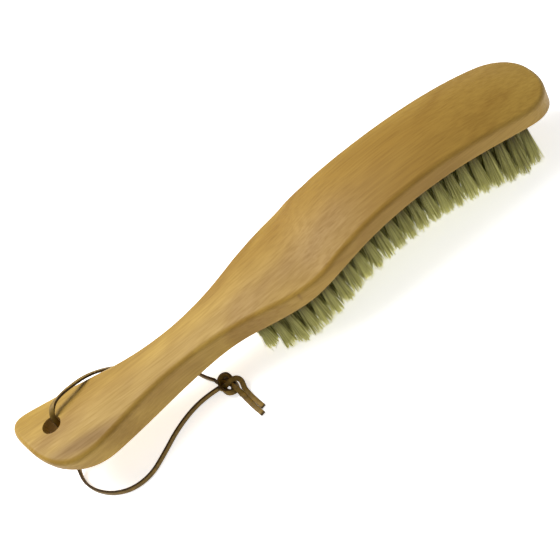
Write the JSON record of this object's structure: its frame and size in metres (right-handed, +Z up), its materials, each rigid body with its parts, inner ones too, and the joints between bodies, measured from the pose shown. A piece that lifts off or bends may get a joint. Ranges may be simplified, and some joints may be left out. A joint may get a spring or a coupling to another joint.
{
  "type": "clothes brush",
  "caption": "Long-handled wooden clothes brush with an arched head, natural bristle tufts and a flat leather hanging thong knotted through the handle end.",
  "frame": {"origin": "middle of the body's length and width, on the surface that the trimmed tufts stand on", "axes": "+X from the handle end to the nose of the head, +Z up, bristles down, +Y towards the long side of the slanted handle end"},
  "size_m": [0.35, 0.0831, 0.057],
  "materials": {
    "oiled_wood": "oiled pale hardwood, satin",
    "natural_bristle": "pale natural bristle, trimmed tips",
    "anchor_wire": "flat drawn wire",
    "leather_thong": "oiled tan-brown leather with dark cut edges"
  },
  "bodies": {
    "root": {"anchor_rank_01": "anchor_wire", "anchor_rank_02": "anchor_wire", "anchor_rank_03": "anchor_wire", "anchor_rank_04": "anchor_wire", "anchor_rank_05": "anchor_wire", "anchor_rank_06": "anchor_wire", "anchor_rank_07": "anchor_wire", "anchor_rank_08": "anchor_wire", "anchor_rank_09": "anchor_wire", "anchor_rank_10": "anchor_wire", "anchor_rank_11": "anchor_wire", "anchor_rank_12": "anchor_wire", "anchor_rank_13": "anchor_wire", "anchor_rank_14": "anchor_wire", "anchor_rank_15": "anchor_wire", "anchor_rank_16": "anchor_wire", "anchor_rank_17": "anchor_wire", "anchor_rank_18": "anchor_wire", "anchor_rank_19": "anchor_wire", "anchor_rank_20": "anchor_wire", "anchor_rank_21": "anchor_wire", "anchor_rank_22": "anchor_wire", "anchor_rank_23": "anchor_wire", "brush_body": "oiled_wood", "thong_far_strand": "leather_thong", "thong_knot": "leather_thong", "thong_near_strand": "leather_thong", "thong_tail_long": "leather_thong", "thong_tail_short": "leather_thong", "tuft_rank_01": "natural_bristle", "tuft_rank_02": "natural_bristle", "tuft_rank_03": "natural_bristle", "tuft_rank_04": "natural_bristle", "tuft_rank_05": "natural_bristle", "tuft_rank_06": "natural_bristle", "tuft_rank_07": "natural_bristle", "tuft_rank_08": "natural_bristle", "tuft_rank_09": "natural_bristle", "tuft_rank_10": "natural_bristle", "tuft_rank_11": "natural_bristle", "tuft_rank_12": "natural_bristle", "tuft_rank_13": "natural_bristle", "tuft_rank_14": "natural_bristle", "tuft_rank_15": "natural_bristle", "tuft_rank_16": "natural_bristle", "tuft_rank_17": "natural_bristle", "tuft_rank_18": "natural_bristle", "tuft_rank_19": "natural_bristle", "tuft_rank_20": "natural_bristle", "tuft_rank_21": "natural_bristle", "tuft_rank_22": "natural_bristle", "tuft_rank_23": "natural_bristle"}
  },
  "joints": []
}
